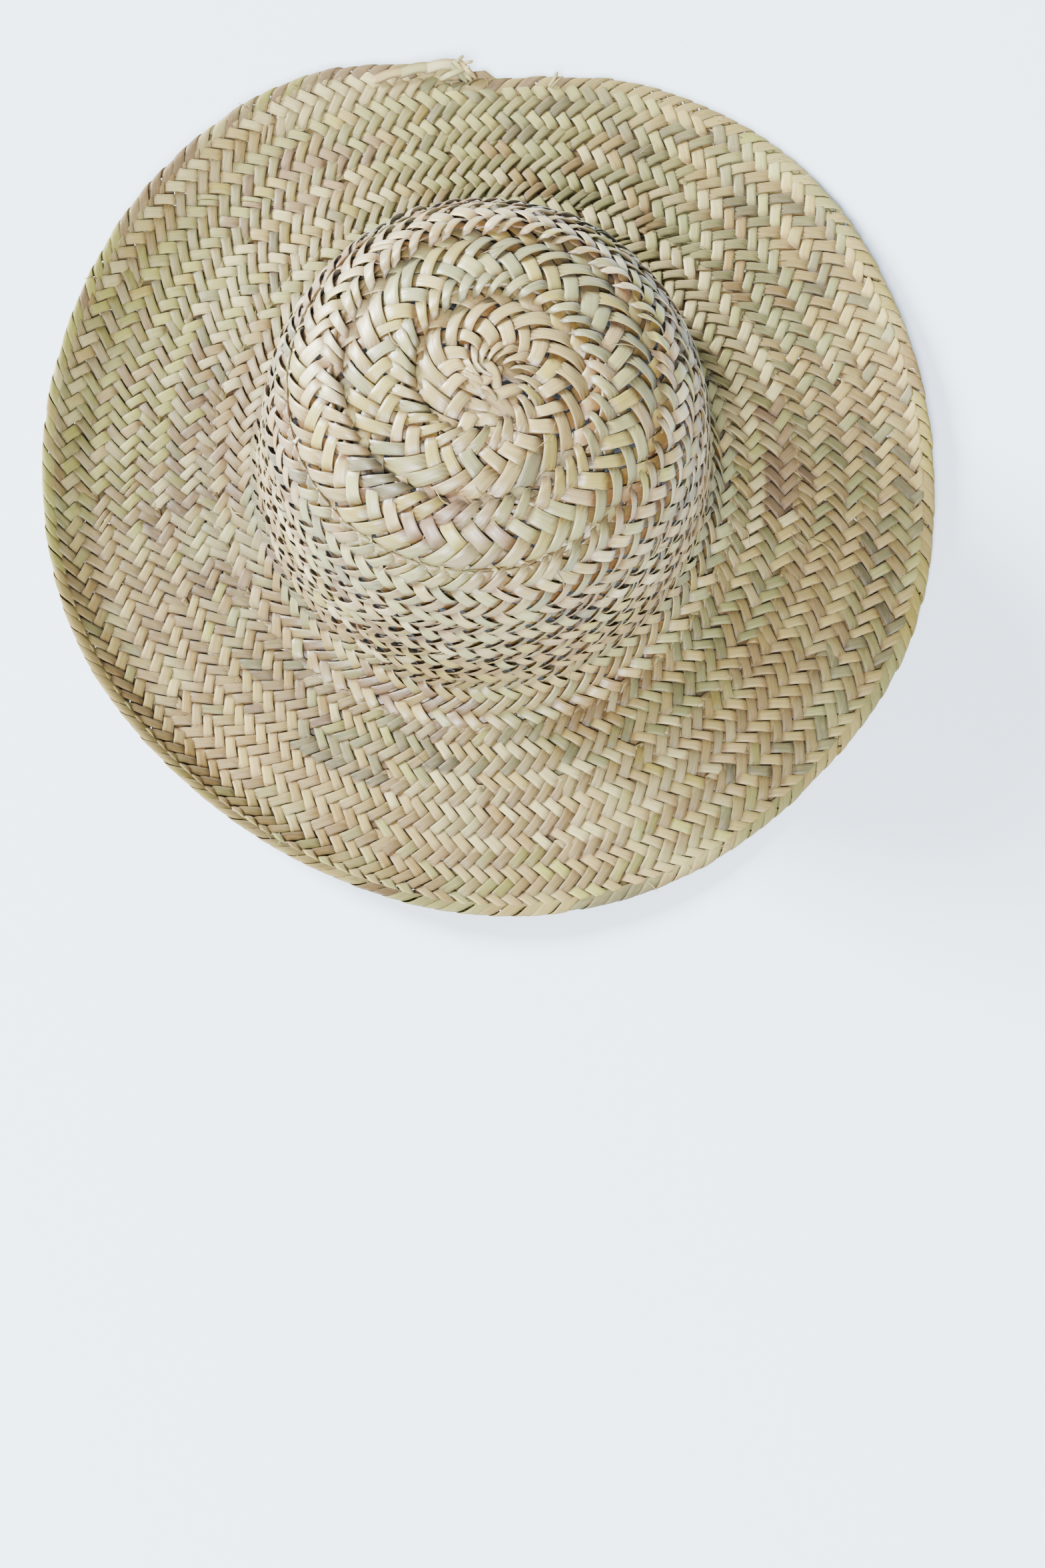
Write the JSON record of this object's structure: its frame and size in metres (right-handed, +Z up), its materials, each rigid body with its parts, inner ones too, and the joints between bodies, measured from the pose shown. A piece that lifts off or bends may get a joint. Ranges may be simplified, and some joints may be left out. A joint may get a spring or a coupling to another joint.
{
  "type": "palm leaf sun hat",
  "caption": "Wide-brimmed sun hat of plaited palm leaf, coiled from the tip of a round crown to a turned-up rim, resting on its brim.",
  "frame": {"origin": "centre of the hat's footprint, on the surface that the brim rests on", "axes": "+Z up through the crown, +Y towards the back of the hat, where the plait ends"},
  "size_m": [0.3854, 0.3834, 0.1185],
  "materials": {
    "tip_plait": "coarse plait of wide, sun-bleached palm leaf strips, satin",
    "wall_plait": "fine herringbone plait of pale green and straw palm leaf, satin",
    "brim_plait": "fine herringbone plait of straw, green and brown palm leaf, satin",
    "selvage": "folded palm leaf edge, satin",
    "plait_end": "loose folded palm leaf ends, satin"
  },
  "bodies": {
    "root": {"crown_tip": "tip_plait", "crown_shoulder": "wall_plait", "crown_wall": "wall_plait", "brim": "brim_plait", "rim_edge": "selvage", "tail_tuft": "plait_end"}
  },
  "joints": []
}
